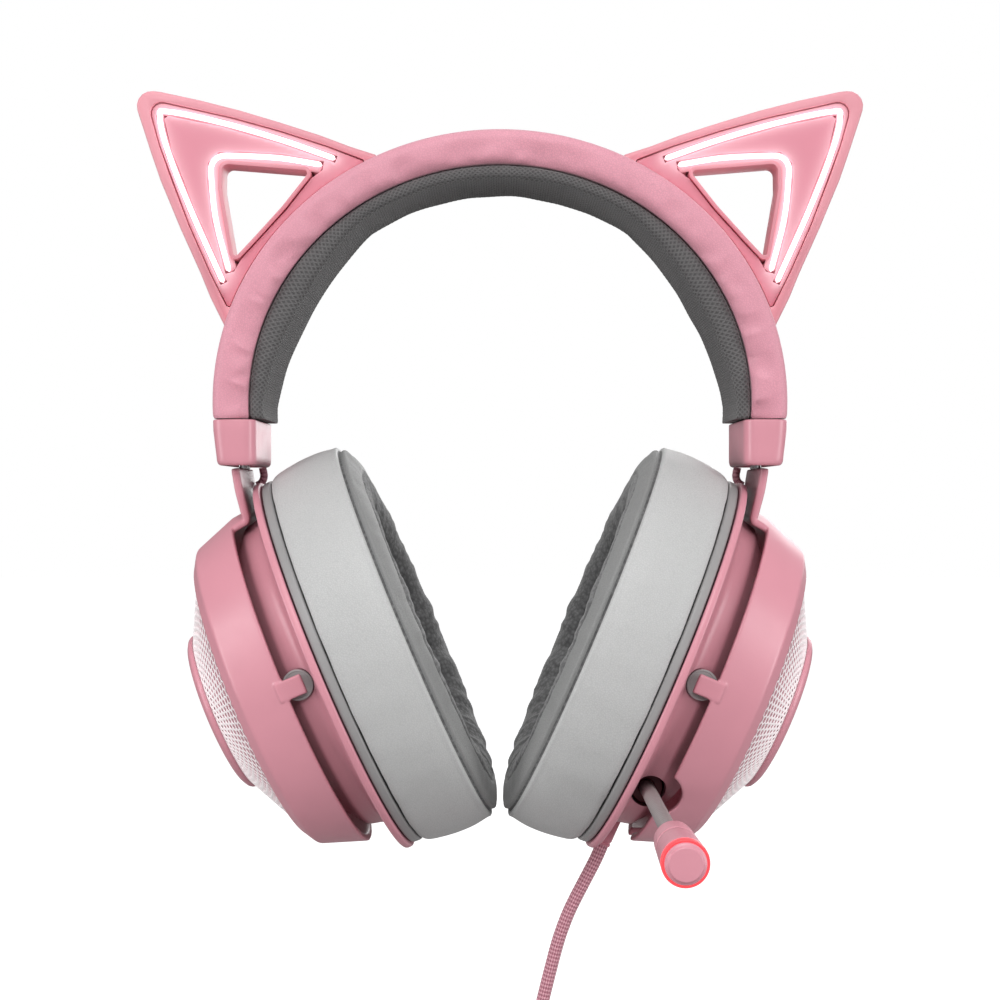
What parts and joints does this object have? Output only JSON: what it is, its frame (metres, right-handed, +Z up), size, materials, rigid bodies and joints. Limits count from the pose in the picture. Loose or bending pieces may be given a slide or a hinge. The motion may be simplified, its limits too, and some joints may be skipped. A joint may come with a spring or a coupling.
{
  "type": "gaming headset",
  "caption": "Over-ear gaming headset with lit cat ears, padded headband, sliding yokes, tilting cups, retractable microphone and a tied braided cable.",
  "frame": {"origin": "on the underside of the headband cushion, at the crown of the head", "axes": "+X towards the wearer's left cup (the one with the microphone), -Y to the front, +Z up"},
  "size_m": [0.1936, 0.1662, 0.3868],
  "materials": {
    "pink_plastic": "satin moulded plastic",
    "pink_leatherette": "soft leatherette over foam",
    "grey_fabric": "ribbed spacer fabric",
    "grey_leatherette": "smooth leatherette over foam",
    "grey_plastic": "matte moulded plastic",
    "light_guide": "white light guide, lit",
    "lit_grille": "perforated metal, lit from behind",
    "steel": "brushed",
    "circuit_board": "solder mask",
    "black_plastic": "matte",
    "black_mesh": "fine open mesh",
    "pink_braid": "braided cord sleeve",
    "red_light": "red light ring, lit"
  },
  "bodies": {
    "headband": {"headband_cover": "pink_leatherette", "headband_cushion": "grey_fabric", "headband_spring": "steel", "left_collar": "pink_plastic", "left_ear_shell": "pink_plastic", "left_ear_panel": "pink_plastic", "left_ear_light_outer": "light_guide", "left_ear_light_inner": "light_guide", "left_ear_board": "circuit_board", "right_collar": "pink_plastic", "right_ear_shell": "pink_plastic", "right_ear_panel": "pink_plastic", "right_ear_light_outer": "light_guide", "right_ear_light_inner": "light_guide", "right_ear_board": "circuit_board"},
    "left_yoke": {"left_slider_stem": "steel", "left_yoke": "pink_plastic", "left_grille": "lit_grille", "left_badge": "pink_plastic", "left_link_wire": "pink_braid"},
    "right_yoke": {"right_slider_stem": "steel", "right_yoke": "pink_plastic", "right_grille": "lit_grille", "right_badge": "pink_plastic", "right_link_wire": "pink_braid"},
    "left_cup": {"left_cup_housing": "pink_plastic", "left_front_bush": "grey_plastic", "left_rear_bush": "grey_plastic", "left_pad_ring": "grey_plastic", "left_baffle": "black_plastic", "left_driver": "steel", "left_diaphragm": "black_plastic", "left_ear_pad": "grey_leatherette", "left_pad_mesh": "black_mesh"},
    "right_cup": {"right_cup_housing": "pink_plastic", "right_front_bush": "grey_plastic", "right_rear_bush": "grey_plastic", "right_pad_ring": "grey_plastic", "right_baffle": "black_plastic", "right_driver": "steel", "right_diaphragm": "black_plastic", "right_ear_pad": "grey_leatherette", "right_pad_mesh": "black_mesh", "mic_guide": "grey_plastic", "control_board": "circuit_board", "strain_relief": "pink_plastic", "main_cable": "pink_braid", "cable_coil": "pink_braid", "cable_tail": "pink_braid", "cable_tie": "black_plastic", "plug_body": "pink_plastic", "plug_shell": "steel", "mic_boom": "grey_plastic"},
    "microphone": {"mic_housing": "pink_plastic", "mic_capsule": "steel", "mic_light_ring": "red_light", "mic_cap": "pink_plastic"},
    "volume_wheel": {"volume_wheel": "grey_plastic"},
    "mute_button": {"mute_button": "grey_plastic"}
  },
  "joints": [
    {"name": "left_size", "type": "slide", "parent": "headband", "child": "left_yoke", "axis": [0, 0, -1], "range_m": [0, 0.025], "deforming": ["left_link_wire"]},
    {"name": "left_tilt", "type": "hinge", "parent": "left_yoke", "child": "left_cup", "pos_m": [-0.05017, 0, -0.12992], "axis": [0, 1, 0], "range_deg": [0, 7]},
    {"name": "right_size", "type": "slide", "parent": "headband", "child": "right_yoke", "axis": [0, 0, -1], "range_m": [0, 0.025], "deforming": ["right_link_wire"]},
    {"name": "right_tilt", "type": "hinge", "parent": "right_yoke", "child": "right_cup", "pos_m": [0.05017, 0, -0.12992], "axis": [0, -1, 0], "range_deg": [0, 7]},
    {"name": "mic_retract", "type": "slide", "parent": "right_cup", "child": "microphone", "axis": [0, 1, 0], "range_m": [0, 0.06], "deforming": ["mic_boom"]},
    {"name": "volume_turn", "type": "hinge", "parent": "right_cup", "child": "volume_wheel", "pos_m": [0.03964, 0.0265, -0.15], "axis": [-0.9205, 0, 0.3907], "continuous": true},
    {"name": "mute_press", "type": "slide", "parent": "right_cup", "child": "mute_button", "axis": [0, -1, 0], "range_m": [0, 0.0008], "stiffness_N_per_m": 900}
  ]
}
